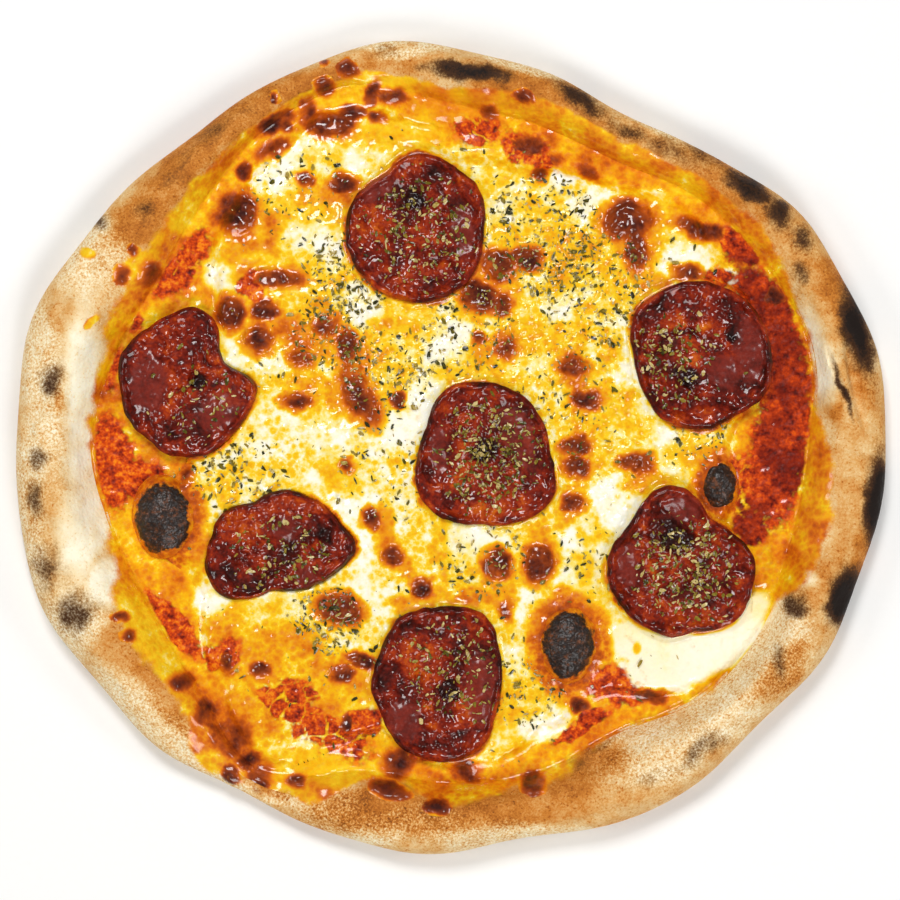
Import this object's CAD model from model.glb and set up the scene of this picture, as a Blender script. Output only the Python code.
# %% [markdown]
# # A wood-fired pepperoni pizza
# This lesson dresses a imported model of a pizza: a crust, a layer of tomato sauce, a layer
# of melted mozzarella and seven slices of salami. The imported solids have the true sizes
# but few faces. Here each of them is made again as a fine mesh from the same sizes, so
# that it carries the crags, blisters and wrinkles that the eye looks for in food.
# The first lines load the solids, which stay where they are.

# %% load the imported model
import math

import bpy
import numpy as np
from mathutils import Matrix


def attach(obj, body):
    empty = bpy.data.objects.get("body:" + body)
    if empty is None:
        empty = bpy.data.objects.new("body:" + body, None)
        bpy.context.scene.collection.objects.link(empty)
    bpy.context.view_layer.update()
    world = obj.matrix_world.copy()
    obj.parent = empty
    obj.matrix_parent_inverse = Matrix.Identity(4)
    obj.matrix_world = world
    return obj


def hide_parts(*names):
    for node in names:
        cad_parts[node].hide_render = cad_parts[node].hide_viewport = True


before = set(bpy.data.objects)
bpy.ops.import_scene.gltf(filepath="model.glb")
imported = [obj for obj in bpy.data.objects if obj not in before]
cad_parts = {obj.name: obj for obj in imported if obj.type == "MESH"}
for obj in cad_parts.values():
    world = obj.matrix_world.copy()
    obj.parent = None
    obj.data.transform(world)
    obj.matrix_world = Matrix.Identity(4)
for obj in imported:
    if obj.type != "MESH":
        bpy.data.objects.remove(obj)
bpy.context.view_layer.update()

# %% [markdown]
# ## The camera
# Food laid out flat is shown best from straight above. A long lens from a metre away
# keeps the rim from leaning outwards. The view is 310 mm wide at the height of the rim,
# which is the share of the frame that the pizza fills.

# %% camera straight above
MM = 0.001
VIEW_WIDTH = 310.0
VIEW_CENTRE = (-0.3, -1.2)
EYE_HEIGHT = 1000.0
RIM_LEVEL = 9.0
SENSOR_WIDTH = 36.0

camera_data = bpy.data.cameras.new("Camera_Above")
camera = bpy.data.objects.new("Camera_Above", camera_data)
bpy.context.scene.collection.objects.link(camera)
camera.location = (VIEW_CENTRE[0] * MM, VIEW_CENTRE[1] * MM, EYE_HEIGHT * MM)
camera_data.sensor_width = SENSOR_WIDTH
camera_data.lens = SENSOR_WIDTH * (EYE_HEIGHT - RIM_LEVEL) / VIEW_WIDTH
bpy.context.scene.camera = camera
bpy.context.scene.view_settings.view_transform = "Standard"
print("lens in mm", round(camera_data.lens, 1))

# %% [markdown]
# ## Uneven numbers that come out the same each time
# Nothing on a pizza is even, but the script has to give the same pizza on every run.
# A plain series of numbers from a seed does that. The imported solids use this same
# series, so their long waves and largest herb flakes fall in the same places here.

# %% a repeatable series and the long waves
TURN = 2 * math.pi
FACTOR = 1664525
ADDED = 1013904223
STATES = 2 ** 32


def series(seed):
    state = seed
    while True:
        state = (state * FACTOR + ADDED) % STATES
        yield state / STATES


wave = series(11)
WAVES = [(TURN * next(wave), TURN * next(wave), 0.75 + 0.5 * next(wave)) for _ in range(7)]


def waves(x, y, length):
    """Uneven swell from -1 to 1 with crests about one length apart."""
    total = 0
    for heading, phase, stretch in WAVES:
        along = x * math.cos(heading) + y * math.sin(heading)
        total = total + np.sin(TURN * along / (length * stretch) + phase)
    return total / math.sqrt(2 * len(WAVES))


print("swell at the middle", round(float(waves(0.0, 0.0, 26)), 3))

# %% [markdown]
# ## Soft noise and cells, worked out on whole arrays
# Blender's texture nodes colour a surface but can't move it without displacement. For
# real relief the heights are worked out here with numpy, thousands of points at once.
# `noise` gives soft lumps of a chosen size in mm. `cells` gives the distance to the
# nearest of many scattered points, which makes the pits and grains of melted cheese.
# Each seed has a table and a heading of its own, so no two fields line up. The shifts
# move the table's corner away from the middle of the pizza.

# %% noise and cells
TABLE_SIZE = 256
NOISE_SHIFT = (31.7, 57.3)
CELL_SHIFT = 90.5
FAR = 9.0


def noise(x, y, size, seed):
    """Soft lumps about one size across, from -1 to 1."""
    table = np.random.default_rng(seed).random((TABLE_SIZE, TABLE_SIZE)) * 2 - 1
    heading = 0.6 + seed
    u = (x * math.cos(heading) + y * math.sin(heading)) / size + NOISE_SHIFT[0]
    v = (y * math.cos(heading) - x * math.sin(heading)) / size + NOISE_SHIFT[1]
    i, j = np.floor(u).astype(int), np.floor(v).astype(int)
    s, t = smooth(u - i), smooth(v - j)
    i, j, k, m = i % TABLE_SIZE, j % TABLE_SIZE, (i + 1) % TABLE_SIZE, (j + 1) % TABLE_SIZE
    low = table[i, j] * (1 - s) + table[k, j] * s
    high = table[i, m] * (1 - s) + table[k, m] * s
    return low * (1 - t) + high * t


def smooth(t):
    t = np.clip(t, 0, 1)
    return t * t * (3 - 2 * t)


def rough(x, y, size, seed, layers=3):
    """Noise with finer noise on it, each layer half as large and half as strong."""
    return sum(noise(x, y, size / 2 ** n, seed + n) / 2 ** n for n in range(layers)) / 1.5


def cells(x, y, size, seed):
    """Distances, in sizes, to the nearest and second nearest of scattered points."""
    jitter = np.random.default_rng(seed).random((TABLE_SIZE, TABLE_SIZE, 2))
    u, v = x / size + CELL_SHIFT, y / size + CELL_SHIFT
    i, j = np.floor(u).astype(int), np.floor(v).astype(int)
    near = np.full(np.shape(u), FAR)
    second = near.copy()
    for di in (-1, 0, 1):
        for dj in (-1, 0, 1):
            spot = jitter[(i + di) % TABLE_SIZE, (j + dj) % TABLE_SIZE]
            away = np.hypot(i + di + spot[..., 0] - u, j + dj + spot[..., 1] - v)
            second = np.minimum(second, np.maximum(near, away))
            near = np.minimum(near, away)
    return near, second


print("noise near 0", noise(np.array([0.0]), np.array([0.0]), 5, 1).round(2))

# %% [markdown]
# ## Curves and patches
# The outline of each layer is a smooth closed curve through a few radii spaced evenly
# round a turn. A patch is an ellipse that fades towards its edge: browned, floury and
# charred places are all lists of such patches, measured in mm from the middle of the
# pizza: place, half length, half width and the turn of the long side in degrees. A round
# patch leaves out the width and the turn, and a level one the turn. The edge of a patch
# is stirred with noise, because a burn has no clean border.

# %% helpers for outlines and patches


def turn_of(x, y):
    return np.arctan2(y, x) / TURN


def polar(radius, turn):
    """x and y of the point at this radius and this share of a turn."""
    return radius * np.cos(TURN * turn), radius * np.sin(TURN * turn)


def around(values, turn):
    """A smooth closed curve through values spaced evenly round a turn."""
    values = np.asarray(values, dtype=float)
    n = len(values)
    place = (turn - np.floor(turn)) * n
    i = np.floor(place).astype(int) % n
    u = place - np.floor(place)
    a, b, c, d = (values[(i + step) % n] for step in (-1, 0, 1, 2))
    return b + 0.5 * u * (c - a + u * (2 * a - 5 * b + 4 * c - d + u * (3 * (b - c) + d - a)))


def ellipse(cx, cy, long, wide=None, turn=0):
    return cx, cy, long, long if wide is None else wide, turn


def within(x, y, patch, grow=1.0):
    """1 in the middle of a grown ellipse, falling evenly to 0 at its edge."""
    cx, cy, long, wide, turn = ellipse(*patch)
    angle = math.radians(turn)
    dx, dy = x - cx, y - cy
    u = (dx * math.cos(angle) + dy * math.sin(angle)) / (grow * long)
    v = (dy * math.cos(angle) - dx * math.sin(angle)) / (grow * wide)
    return np.maximum(0, 1 - np.hypot(u, v))


def stirred(x, y, stir, size, seed):
    return x + stir * rough(x, y, size, seed), y + stir * rough(x, y, size, seed + 4)


def close_to(x, y, patch, grow):
    """Which points are near a grown patch, and how far inside it each of them lies."""
    cx, cy, long, wide, _ = ellipse(*patch)
    reach = grow * max(long, wide)
    near = (np.abs(x - cx) < reach) & (np.abs(y - cy) < reach)
    return near, within(x[near], y[near], patch, grow)


def patches(x, y, table, grow=1.0, stir=0.0, size=6.0, seed=3):
    """The strongest of many patches at each point, with stirred edges."""
    x, y = stirred(x, y, stir, size, seed)
    best = np.zeros(np.shape(x))
    for patch in table:
        near, share = close_to(x, y, patch, grow)
        best[near] = np.maximum(best[near], share)
    return best


print("a patch's middle", within(0.0, 0.0, (0, 0, 5)))

# %% [markdown]
# ## The sizes of the pizza
# A pizza for one measures about 300 mm across. The floor of dough is 4 to 5 mm thick,
# the sauce about 1 mm and the melted cheese 2 to 3 mm. The rim puffs up to 15 to 20 mm,
# and is low in one place, where cheese ran over it. Each row of RIM gives, every 15
# degrees: the radius of the outside, the radius of the rim's foot and the crest's height.
# MELT gives the radius of the cheese in the same way. PUFFS are patches of the rim that
# swell or sink, with the height last. BUBBLES are charred: place, half sizes and top.

# %% sizes in millimetres, shared with the solids
FLOOR = 4.5
SAUCE = 1.2
CHEESE = 2.6
SLICE = 1.9
BED = 1.3  # cheese under a slice
GAP = 0.3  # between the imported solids
WAIST = 7  # the height at which the rim is widest
TUCK = 9  # how far the rim draws in below its waist
CREST = 0.5  # where the crest lies, as a share of the rim's width
CHEESE_SLOPE = 7  # width of the slope at the edge of the cheese
FLANK_CURVE = 1.4
OUTER_CURVE = 2.3

SAUCE_TOP = FLOOR + GAP + SAUCE
CHEESE_BASE = SAUCE_TOP + GAP
CHEESE_TOP = CHEESE_BASE + CHEESE
SLICE_BASE = CHEESE_BASE + BED + GAP

RIM = [
    (149.5, 122, 17), (149.5, 127, 16), (145, 124, 15), (137, 120, 15),
    (129, 113, 15), (132, 114, 15), (138, 117, 14), (140.5, 128, 12),
    (139.5, 126, 13), (139.5, 119, 15), (146, 115, 17), (150, 119, 18),
    (149.5, 122, 18), (151, 118, 19), (148, 116, 18), (144, 120, 15),
    (138.5, 129, 9), (140, 114, 15), (139, 115, 17), (138, 115, 17),
    (143, 112, 18), (143, 120, 18), (146, 122, 17), (148.5, 120, 17),
]
MELT = [
    99, 105, 115, 117, 107, 104, 103, 126, 124, 113, 97, 86,
    88, 107, 103, 117, 128, 102, 111, 110, 103, 116, 117, 102,
]
PUFFS = [
    (129, 26, 20, 8, 100, 2.6), (138, 24, 22, 3, 100, -2.2), (122, -52, 20, 13, 60, 2.4),
    (98, -84, 24, 12, 40, 2.2), (48, -112, 24, 12, 15, -1.6), (8, -124, 18, 13, 0, 2.0),
    (-60, -113, 12, 14, 60, -2.0), (-118, -68, 22, 12, -58, 1.8), (-133, -10, 14, 34, 0, 1.6),
    (-118, 62, 16, 12, 60, -1.6), (-88, 96, 30, 10, 45, 1.5), (-22, 128, 16, 8, 0, -1.2),
    (24, 126, 20, 8, -15, 1.8), (66, 106, 14, 9, -35, -1.6), (104, 88, 20, 9, -40, 1.8),
]
BUBBLES = [(-99, -24.5, 10.5, 13.5, 14.5), (40.5, -68.5, 10, 13.2, 15), (92.5, -13.2, 6.6, 9, 12.5)]


def outside_radius(turn):
    uneven = np.sin(11 * TURN * turn + 1) + np.sin(17 * TURN * turn + 4)
    return around([row[0] for row in RIM], turn) + 0.6 * uneven + 0.5


def foot_radius(turn):
    return around([row[1] for row in RIM], turn)


def past(x, y, edge):
    """How far a point lies outside a closed curve such as foot_radius, in mm."""
    return np.hypot(x, y) - edge(turn_of(x, y))


def melt_radius(turn):
    uneven = np.sin(13 * TURN * turn + 2) + np.sin(19 * TURN * turn + 5)
    return np.minimum(around(MELT, turn) + 1.1 * uneven, foot_radius(turn) + 1)


def rim_height(turn, t):
    crest = around([row[2] for row in RIM], turn)
    rise = np.sin(np.pi / 2 * np.clip(t / CREST, 0, 1)) ** FLANK_CURVE
    fall = np.clip((t - CREST) / (1 - CREST), 0, 1)
    outer = WAIST + (crest - WAIST) * np.sqrt(1 - fall ** OUTER_CURVE)
    return np.where(t < CREST, FLOOR + (crest - FLOOR) * rise, outer)


print("outside radius at 0, 90, 180, 270 degrees",
      [round(float(outside_radius(q / 4)), 1) for q in range(4)])

# %% [markdown]
# ## The slices' outlines
# Salami shrinks and warps in the oven, so no slice stays round. Each has its middle, its
# radii every 20 or 30 degrees, how far its edge cups upwards, and a few folds: swells and
# pits with a place, a radius and a height. `herb` is how many small flakes fell on it, and
# `drift` the middle and radius of their drift. `matt` and `oily` are patches of its skin.

# %% the seven slices
SLICES = [
    {"middle": (-12, 75), "cup": 2.6, "herb": 255, "drift": (2, 0, 15),
     "radii": [23.6, 25.5, 25.2, 25.8, 21.8, 23.4, 24.3, 24.6, 25.1, 25.5, 25.7, 24.7],
     "folds": [(0, 10, 5, -1.3), (-10, 12, 7, 0.8), (13, 2, 6, 0.8), (-4, -10, 7, 0.7)],
     "matt": [(-13, 14, 8, 5, 40), (16, 0, 5, 12)], "oily": [(3, -3, 6, 5), (-12, 2, 5, 6)]},
    {"middle": (-92, 21.5), "cup": 1.6, "herb": 68, "drift": (6, -8, 12),
     "radii": [24.8, 17.6, 16.5, 23.1, 26.9, 24.6, 23.1, 23.6, 23.8, 22, 22.4, 22.6, 23.2, 25, 25.5,
               25.1, 24.1, 24.5],
     "folds": [(5, 1, 4, -1.5), (-10, 4, 8, 1), (10, -10, 8, 0.6), (4, 15, 6, 0.9)],
     "matt": [(12, -9, 12, 8, 30), (-12, 0, 9, 14)], "oily": [(14, -4, 5, 4)]},
    {"middle": (86.5, 31.5), "cup": 3, "herb": 204, "drift": (-12, -2, 13),
     "radii": [23.8, 23.6, 24.1, 25.3, 26.3, 27.4, 24.1, 24.1, 26, 25.8, 23.8, 25.7],
     "folds": [(-4, -8, 5, -1.3), (11, 7, 4, -1), (2, 4, 7, 0.9), (12, -8, 6, 0.8)],
     "matt": [(16, 2, 7, 15), (8, -6, 8)], "oily": [(-4, 0, 6), (-10, 12, 5, 4)]},
    {"middle": (11.5, -3), "cup": 2.6, "herb": 459, "drift": (3, 0, 15),
     "radii": [23.1, 23, 24.6, 25.1, 26.3, 22.7, 23.2, 26.2, 25.9, 24.1, 26.2, 27.5],
     "folds": [(0, 2, 6, -1), (-12, -8, 6, 0.9), (8, 12, 6, 0.7), (11, -10, 6, 0.8)],
     "matt": [(12, 6, 7, 16, 20), (-16, 2, 4, 10)], "oily": [(-8, -6, 7), (-2, -19, 12, 4)]},
    {"middle": (-59, -34.5), "cup": 1, "herb": 153, "drift": (2, -4, 14),
     "radii": [26.5, 22.7, 21, 20.1, 19.8, 18.8, 18.1, 21.4, 23.5, 24.5, 26.9, 26.2, 20.7, 15.5,
               15.8, 17.2, 19.1, 22.6],
     "folds": [(2, 6, 6, 1.9), (10, -10, 5, 1.6), (-12, -3, 6, 0.9), (16, 4, 4, -1)],
     "matt": [(2, 6, 6), (10, -10, 6, 5)], "oily": [(-14, 6, 8, 5), (4, 14, 10, 4)]},
    {"middle": (-4, -82), "cup": 2.2, "herb": 204, "drift": (5, 6, 15),
     "radii": [21.7, 24.1, 28.9, 26.9, 26.9, 23.2, 23.4, 22.7, 25.1, 26.7, 26.2, 22.4],
     "folds": [(3, -2, 5, -1.6), (-10, -8, 7, 0.9), (13, 4, 8, 0.7), (-6, 13, 6, 0.8)],
     "matt": [(14, -2, 7, 18), (-12, -12, 8, 9)], "oily": [(-6, 10, 10, 8), (10, -8, 5, 8)]},
    {"middle": (79, -41), "cup": 4, "herb": 391, "drift": (2, -1, 14),
     "radii": [25.7, 23.2, 20.1, 19.6, 25, 28.2, 25.8, 22.9, 24.1, 25.5, 25.3, 24.6, 24.5, 25, 23.2,
               25, 26.9, 25.8],
     "folds": [(-1, 9, 7, -1.6), (-10, -6, 6, 0.9), (8, -8, 6, 1.1), (2, -2, 5, 0.7)],
     "matt": [(2, 20, 8, 6), (-18, 0, 5, 10)], "oily": [(6, -18, 9, 4), (-6, 0, 7, 6)]},
]


LOWEST_FOLD = -0.7


def from_middle(piece, x, y):
    return x - piece["middle"][0], y - piece["middle"][1]


def slice_share(piece, x, y):
    """0 in the middle of a slice, 1 at its outline."""
    dx, dy = from_middle(piece, x, y)
    return np.hypot(dx, dy) / around(piece["radii"], turn_of(dx, dy))


def slice_form(piece, x, y, share):
    """The top of a slice as the solid has it, before its fine wrinkles."""
    dx, dy = from_middle(piece, x, y)
    lift = piece["cup"] * share ** 3 + 0.3 * waves(dx, dy, 12)
    for fx, fy, radius, height in piece["folds"]:
        lift = lift + height * smooth(1.3 * within(dx, dy, (fx, fy, radius)))
    return SLICE_BASE + SLICE + np.maximum(LOWEST_FOLD, lift)


print(len(SLICES), "slices")

# %% [markdown]
# ## Where things browned
# Melted cheese bubbles, and the tops of the bubbles brown first. BROWNED lists them. The
# other lists say where the cheese stayed white, where its fat ran yellow or amber, where
# oil and sauce stained it orange, where the red sauce lies bare or has dried dark, where
# strands of cheese cross it, and where a late pool of cheese stayed smooth. HERB_PATCHES
# gives the middle, radius and share of each patch of the largest herb flakes.

# %% places on the toppings
BROWNED = [
    (-43.5, 132.5, 1.4), (-36, 130, 3, 2.8), (-44, 124, 2.8), (-60.5, 119.5, 1.4, 2),
    (-49, 116, 2.4, 2.8), (-42.5, 111.5, 6.8, 3.8, -10), (-35, 115, 4.2, 2.4),
    (-26, 114, 3, 1.8, -10), (-27, 122, 2, 3.8, -30), (-19.5, 120.5, 4.8, 2.4), (-57, 110.5, 2.4),
    (-62, 103, 5.2, 2.8, 25), (-71.5, 96, 1.8, 2.8, -30), (-74.5, 79.5, 6.2, 6.8),
    (-49.5, 92, 2.4, 2), (-37, 90.5, 4.2, 2.8), (-61, 58, 8.6, 2.8, -3), (-64, 46.5, 4.2, 2.8),
    (-66, 36.5, 4.4, 4.2), (-51.5, 31, 3.8, 3), (-43.5, 42, 4.2, 3.4), (-36, 34.5, 3, 4.8),
    (-32, 19, 4.4, 9.2, 25), (-53, 16, 4.8, 2.8), (-18.5, 16, 2, 1.8), (-103.5, 59, 3, 4.4, -20),
    (-113, 59, 2, 2.8), (-109, 67.5, 1.8), (-76, 46, 3.8, 4.8), (24.5, 120, 3.4, 2, -20),
    (13.5, 115, 2.8), (28, 103.5, 5.6, 3.4, -10), (31.5, 94, 2.4), (37, 99.5, 3.4, 2),
    (47, 95.5, 4.8, 2, -25), (61.5, 77.5, 7.6, 5.8), (64, 67, 3.4, 6.2), (87, 75, 8.2, 3, -15),
    (16.5, 62.5, 5.6, 4.2, -20), (10, 52, 5.8, 4.2, -20), (17.5, 49, 3), (26, 64, 4.8, 3.4),
    (81.5, 60, 4.2, 2.4), (111.5, 52, 3, 2.8), (10, 37, 2, 1.8), (19.5, 34.5, 3.8, 4.4),
    (42.5, 27.5, 4.4, 4.2), (47, 16.5, 4.8, 3), (43, 0.5, 4.2, 3), (-91, -9, 2.4, 2.8),
    (-20, -37.5, 3.4, 2.8), (-10, -48.5, 3), (-27, -25, 2.4, 3), (-36, -7, 2.4),
    (-38.5, -56, 6.2, 4.2, -10), (-38, -78.5, 4.2, 2.4), (-31, -74, 4.2, 2, -15),
    (-66, -77.5, 3.4, 2.4), (-77, -74, 3, 4.2), (-91.5, -81, 3.8, 3), (-70, -108, 3.6, 2.6, 30),
    (-36, -96, 2, 2.8), (-18, -109, 4.4, 4.2), (-21, -118, 6.2, 2.4, -15), (-5, -123, 4.2, 2),
    (-113, -58, 3, 1.4), (-110, -64.5, 2), (-76, -114, 2.6, 3.4), (-53.5, -115, 3, 2),
    (-66, -117, 2.8), (64.5, -5.5, 4.8, 3), (42, -19, 3.4, 3), (43, -7, 4.2, 3),
    (16, -41, 3.8, 4.4, 20), (30.5, -40, 4.2, 5.8, -10), (19, -56.5, 2, 3.4), (69, -86.5, 4.8, 2),
    (44, -89, 2.4, 2), (28, -116, 3.4), (5.5, -112, 4.8, 3, -20),
]
WHITE = [
    (-76, 58, 11.5, 6), (-29, 49, 7.5, 10.5, -20), (-74, 38, 5.5, 14), (-52, 27, 17, 5.5, -10),
    (-30, 5, 29.5, 9), (-53, 100, 5, 8.5, -60), (-34, 98, 5.5, 4), (-59, 90, 6),
    (82, 66, 14.5, 7.5), (41, 54, 12, 8), (58, 42, 8, 6), (-85, -21, 3.5, 8.5),
    (-35, -24, 24, 20.5), (-85, -53, 9, 5, -10), (-31, -49, 9.5, 9), (55, -22, 14, 13),
    (45, -36, 11.5, 15), (11, -35, 14, 7), (31, -97, 16, 6.5, 10), (27, -56, 14, 10.5),
    (-7, 18, 8.5, 14), (38, 95, 10.5, 5.5, -20), (51, 80, 14, 7.5), (1, 35, 10.5), (65, 33, 7, 14),
    (74, -3, 10.5, 14), (-18, -15, 10.5), (-69, 2, 10.5, 7), (-42, 75, 14, 10.5),
]
YELLOW = [
    (-46, 102, 9, 5.5), (-52, 82, 12.5, 6), (-33, 112, 6, 5), (-66, 80, 7, 5), (24, 40, 10.5, 11.5),
    (7, 26, 14, 7.5), (51, 2, 10.5, 14), (38, 57, 9, 10.5), (48, -29, 5, 7), (24, -84, 8.5, 5),
    (20, -97, 6, 5), (-38, -11, 5.5, 8.5, 60), (-18, 40, 12.5, 7), (-73, -56, 8.5, 5),
    (82, 50, 3.5, 14), (58, 13, 7, 8.5), (86, -3, 14, 5.5), (-52, 47, 9, 5.5), (41, 69, 14, 8.5),
    (-37, 81, 7.5, 10.5), (10, 85, 7, 10.5), (20, 68, 7), (-42, -53, 7, 5), (-4, -34, 5, 8.5),
    (45, 36, 14, 9), (56, 58, 9), (-45, 84, 9, 8), (-72, 60, 7, 9), (-18, 31, 8, 7), (48, 44, 9, 7),
    (46, -42, 6, 8),
]
ORANGE = [
    (-68, -67, 16, 9, -20), (-42, -84, 15), (-69, -84, 9), (-52, -67, 10.5, 7.5),
    (-16, -43, 4, 11.5, 35), (-23, -29, 5, 10.5, 10), (-40, 18, 20.5, 7.5, -20),
    (-52, 38, 19.5, 5, -30), (-33, 30, 5, 15, 20), (43, 21, 5.5, 14, 10), (45, 2, 6, 8.5),
    (43, -17, 5, 7), (17, -49, 5, 16, 20), (32, -36, 5.5, 11.5), (32, 99, 15, 4, -20),
    (65, 69, 8.5, 15, 10), (51, 94, 11.5, 3.5, -25), (12, 56, 11.5, 10.5), (17, 35, 8.5, 6),
    (69, -12, 10.5, 5.5), (-97, -8, 11.5, 7.5), (-85, -39, 7.5), (-100, -18, 14, 18),
    (40, -68, 14.5, 18), (93, -14, 11.5, 14), (-68, 75, 10.5, 11.5), (-62, 59, 13, 5),
    (-37, 88, 8.5, 5.5), (-49, 116, 18, 10.5, -10), (7, 57, 9), (86, 76, 14, 5, -15),
    (39, -25, 5.5, 5), (-11, -53, 10.5, 5, 20), (7, -53, 14, 3.5), (-71, -94, 14, 15),
    (72, 50, 7, 10.5, 20), (98, -30, 5, 6),
]
RED = [
    (9, 109, 9, 7), (27, 102, 13, 5.5, -35), (-92, 63, 17, 7.5, 55), (-117, -6, 8, 20, 5),
    (-108, -11, 10, 8), (-96, -62, 18, 5.5, -49), (-46, -97, 26, 7.5, -31), (-30, -96, 8, 7),
    (57, -82, 11, 9), (68, -84, 12, 4, 15), (45, -97, 14, 2.5, 32), (109, 46, 10, 23, 25),
    (117, 14, 9, 28, -3), (112, -6, 12, 25), (103, -28, 7), (-61, -88, 6), (-52, -84, 8, 5, -20),
    (-118, 29, 4.5, 14), (-113, 47, 5, 9, 30), (-80, -72, 8, 5, 30), (111, 30, 7, 24, -5),
    (101, -12, 7, 12), (100, 70, 9, 6, -40), (92, 58, 8, 6), (-4, -104, 12, 5, 20), (-70, 55, 6),
]
FAT = [
    (-109, 63, 15, 6.5, 55), (-104, -67, 25, 7, -59), (-36, -111, 28, 7.5, -8), (-60, -117, 10, 8),
    (-30, 122, 26, 8, 12), (-2, 118, 14, 8), (-14, 108, 16, 6), (10, 118, 12, 5, -10),
]
AMBER = [
    (40, 107, 34, 7, -27), (78, 91, 18, 6, -35), (126, -17, 5, 24), (114, -31, 8, 11),
    (104, 78, 12, 5, -45), (10, -118, 24, 5, 4), (38, -106, 18, 5, 20), (2, 119, 20, 7, -5),
]
STAINS = [
    (-123.5, 66.5, 4, 2.6, -10), (-122.5, 42, 2, 3.2, -30), (-107, 61, 9, 6, 50),
    (-90, 77, 8, 4.5, 45),
]
TANNED = [(-75, -99, 8, 12, 20), (-66, -112, 6, 5), (-84, -92, 4, 8, 40), (-62, 112, 10, 3, 25)]
STRANDED = [(-47, -94, 28, 12, -30), (20, 104, 24, 11, -25), (98, -14, 9, 14), (-90, 62, 8, 10, 50)]
DARK_SAUCE = [(110, 54, 14, 22, 25), (118, 26, 10, 22), (115, -2, 12, 22), (104, -26, 9, 11)]
POOL = [(81, -70.5, 26, 14, 25), (64, -67, 12, 9), (99, -64, 20, 8, 54)]
POOL_DOT = [(64, -69.7, 1.5, 2.2)]
HERB_PATCHES = [
    (42, 63, 26, 3), (-42, 52, 18, 3), (-18, 27, 20, 1.6), (45, 40, 25, 1.5), (-75, -6, 16, 1),
    (-20, -28, 24, 1.2), (-35, -62, 12, 1.2), (22, -80, 12, 1), (75, 0, 20, 0.8),
    (35, -35, 30, 0.9),
]
print(len(BROWNED), "browned blisters")

# %% [markdown]
# ## Heat and redness
# Cheese, fat and sauce run into each other without borders, so the same four numbers
# describe all of them. `baked` says how far the heat got: 0 is fresh white, then yellow
# fat, amber, orange and brown, and 1 is nearly black. HEAT names its stages. Round each
# blister the heat falls off along HALO, which gives it the amber ring that real ones
# have. `grainy` says how much the curd's grain shows, `red` how much bare tomato, and
# `dried` how dark the tomato baked. Crust, sauce and cheese all use them, so colours
# cross their borders.

# %% the fields shared by crust, sauce and cheese
HEAT = {"plain": 0.26, "white": 0.08, "cream": 0.10, "yellow": 0.36, "fat": 0.35,
        "orange": 0.53, "edge": 0.50, "foot": 0.48, "amber": 0.50, "tanned": 0.74}
HALO = [(0, 0), (0.2, 0.46), (0.36, 0.60), (0.45, 0.74), (0.6, 0.84), (1, 0.95)]
STRAND_SPACING = 6.5


def blend(value, target, share):
    return value + (target - value) * share


def soft_patches(x, y, table, grow=1.2, stir=3.0, size=7.0, seed=95):
    return smooth(1.8 * patches(x, y, table, grow, stir, size, seed))


def swell(x, y):
    """The long waves of the cheese, as the solid has them."""
    return 0.55 * waves(x, y, 26)


def pool_share(x, y):
    """1 on the smooth pool of cheese at the lower right, 0 off it."""
    return smooth(3.2 * patches(x, y, POOL, 1.0, 1.4, 9, 91))


def pool_top(x, y):
    near_rim = smooth((past(x, y, foot_radius) + 10) / 12)
    return CHEESE_TOP + 0.4 + swell(x, y) - 1.9 * near_rim


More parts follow.
